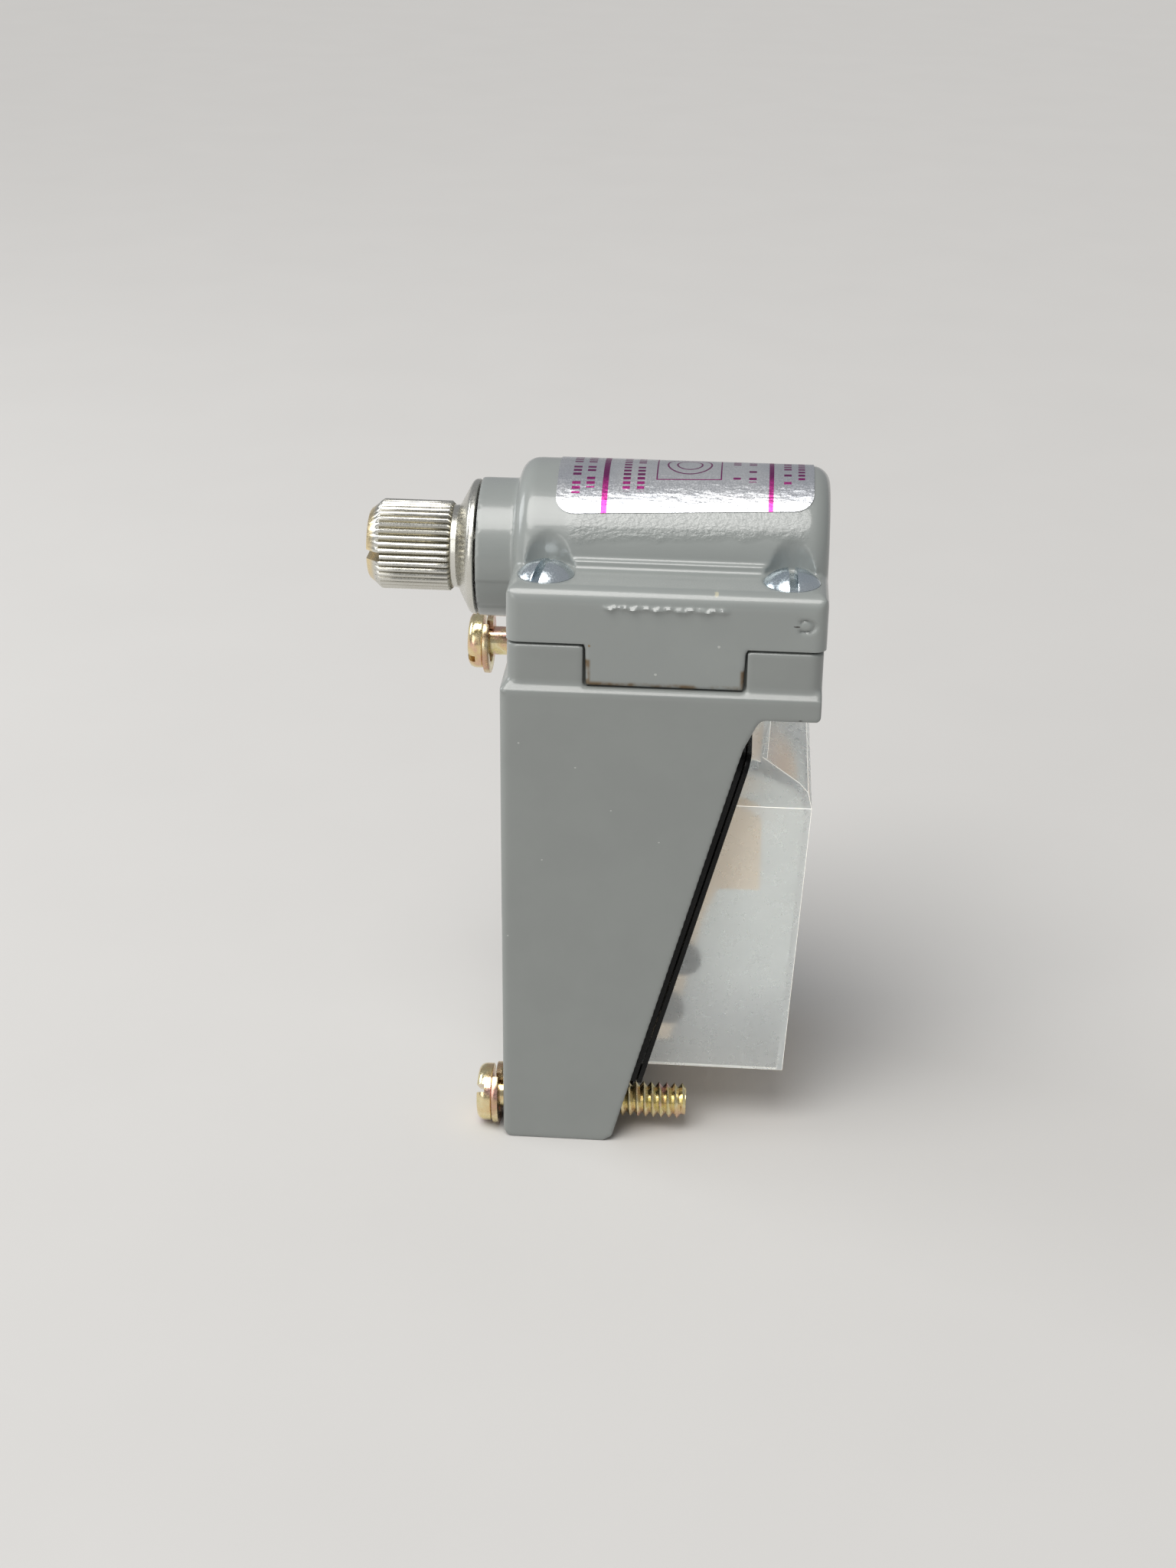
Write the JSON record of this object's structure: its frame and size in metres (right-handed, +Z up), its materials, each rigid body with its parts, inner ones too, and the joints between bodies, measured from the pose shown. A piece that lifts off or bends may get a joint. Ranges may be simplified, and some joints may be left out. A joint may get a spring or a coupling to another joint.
{
  "type": "plug-in limit switch with rotary head",
  "caption": "Heavy-duty plug-in limit switch: cast body with a slanted gasketed rear, square turret head with a knurled operating shaft, and a translucent contact housing.",
  "frame": {"origin": "centre of the body's bottom face", "axes": "+Z up the body, -Y out of the front along the operating shaft, +X to the side, so +Y is the slanted contact side"},
  "size_m": [0.0416, 0.0595, 0.0893],
  "materials": {
    "grey_enamel": "semi-gloss enamel",
    "foil": "bright printed foil",
    "bright_zinc": "bright zinc plate",
    "plated_steel": "machined and plated",
    "yellow_chromate": "iridescent yellow chromate",
    "washer_chromate": "dark yellow chromate",
    "black_rubber": "glossy moulded rubber",
    "gasket_sheet": "matt sheet",
    "sintered_bronze": "oiled sintered bronze",
    "spring_steel": "drawn wire",
    "sintered_steel": "sintered",
    "black_plastic": "moulded",
    "red_plastic": "moulded",
    "tan_phenolic": "moulded phenolic",
    "contact_copper": "copper alloy",
    "contact_brass": "brass strip",
    "dark_screw": "dark plated",
    "milky_plastic": "translucent milky",
    "plate_metal": "satin, blank"
  },
  "bodies": {
    "switch_body": {"body_casting": "grey_enamel", "body_gasket": "black_rubber", "head_gasket": "gasket_sheet", "head_housing": "grey_enamel", "head_label": "foil", "head_screws": "bright_zinc", "front_bushing": "sintered_bronze", "rear_bushing": "sintered_bronze", "shaft_seal": "black_rubber", "return_spring": "spring_steel", "pin_guide": "black_plastic", "plunger_seals": "black_rubber", "contact_block": "tan_phenolic", "closed_contacts": "contact_brass", "open_contacts": "contact_brass", "terminal_screws": "dark_screw", "block_screws": "bright_zinc", "contact_housing": "milky_plastic", "front_plate": "plate_metal", "cw_plunger_spring": "spring_steel", "ccw_plunger_spring": "spring_steel"},
    "shaft": {"operating_shaft": "plated_steel", "shaft_clip": "spring_steel", "cw_cam": "sintered_steel", "ccw_cam": "sintered_steel", "cam_pins": "spring_steel", "spring_collar": "sintered_steel"},
    "cw_pin_body": {"cw_pin": "plated_steel"},
    "ccw_pin_body": {"ccw_pin": "plated_steel"},
    "cw_carrier": {"cw_plunger": "red_plastic", "cw_bridge": "contact_copper"},
    "ccw_carrier": {"ccw_plunger": "red_plastic", "ccw_bridge": "contact_copper"},
    "upper_washer_body": {"upper_lock_washer": "washer_chromate"},
    "upper_screw_body": {"upper_screw": "yellow_chromate"},
    "lower_washer_body": {"lower_lock_washer": "washer_chromate"},
    "lower_screw_body": {"lower_screw": "yellow_chromate"}
  },
  "joints": [
    {"name": "shaft_turn", "type": "hinge", "parent": "switch_body", "child": "shaft", "pos_m": [0, 0, 0.0772], "axis": [0, 1, 0], "range_deg": [-90, 90], "stiffness_Nm_per_rad": 0.05},
    {"name": "cw_pin_slide", "type": "slide", "parent": "switch_body", "child": "cw_pin_body", "axis": [0, 0, 1], "range_m": [-0.0015, 0.0015]},
    {"name": "ccw_pin_slide", "type": "slide", "parent": "switch_body", "child": "ccw_pin_body", "axis": [0, 0, 1], "range_m": [-0.0015, 0.0015]},
    {"name": "cw_carrier_slide", "type": "slide", "parent": "switch_body", "child": "cw_carrier", "axis": [0, 0, 1], "range_m": [-0.0015, 0.0015], "deforming": ["cw_plunger_spring"]},
    {"name": "ccw_carrier_slide", "type": "slide", "parent": "switch_body", "child": "ccw_carrier", "axis": [0, 0, 1], "range_m": [-0.0015, 0.0015], "deforming": ["ccw_plunger_spring"]},
    {"name": "upper_screw_slide", "type": "slide", "parent": "switch_body", "child": "upper_washer_body", "axis": [0, 1, 0], "range_m": [0, 0.0046]},
    {"name": "upper_screw_turn", "type": "hinge", "parent": "upper_washer_body", "child": "upper_screw_body", "pos_m": [-0.0162, 0, 0.0578], "axis": [0, 1, 0], "continuous": true},
    {"name": "lower_screw_slide", "type": "slide", "parent": "switch_body", "child": "lower_washer_body", "axis": [0, 1, 0], "range_m": [-0.0046, 0]},
    {"name": "lower_screw_turn", "type": "hinge", "parent": "lower_washer_body", "child": "lower_screw_body", "pos_m": [0.0162, 0, 0.0041], "axis": [0, 1, 0], "continuous": true}
  ],
  "couplings": [
    {"joint": "cw_pin_slide", "follows": "shaft_turn", "m_per_rad": -0.000954},
    {"joint": "ccw_pin_slide", "follows": "shaft_turn", "m_per_rad": 0.000954},
    {"joint": "cw_carrier_slide", "follows": "shaft_turn", "m_per_rad": -0.000954},
    {"joint": "ccw_carrier_slide", "follows": "shaft_turn", "m_per_rad": 0.000954}
  ]
}
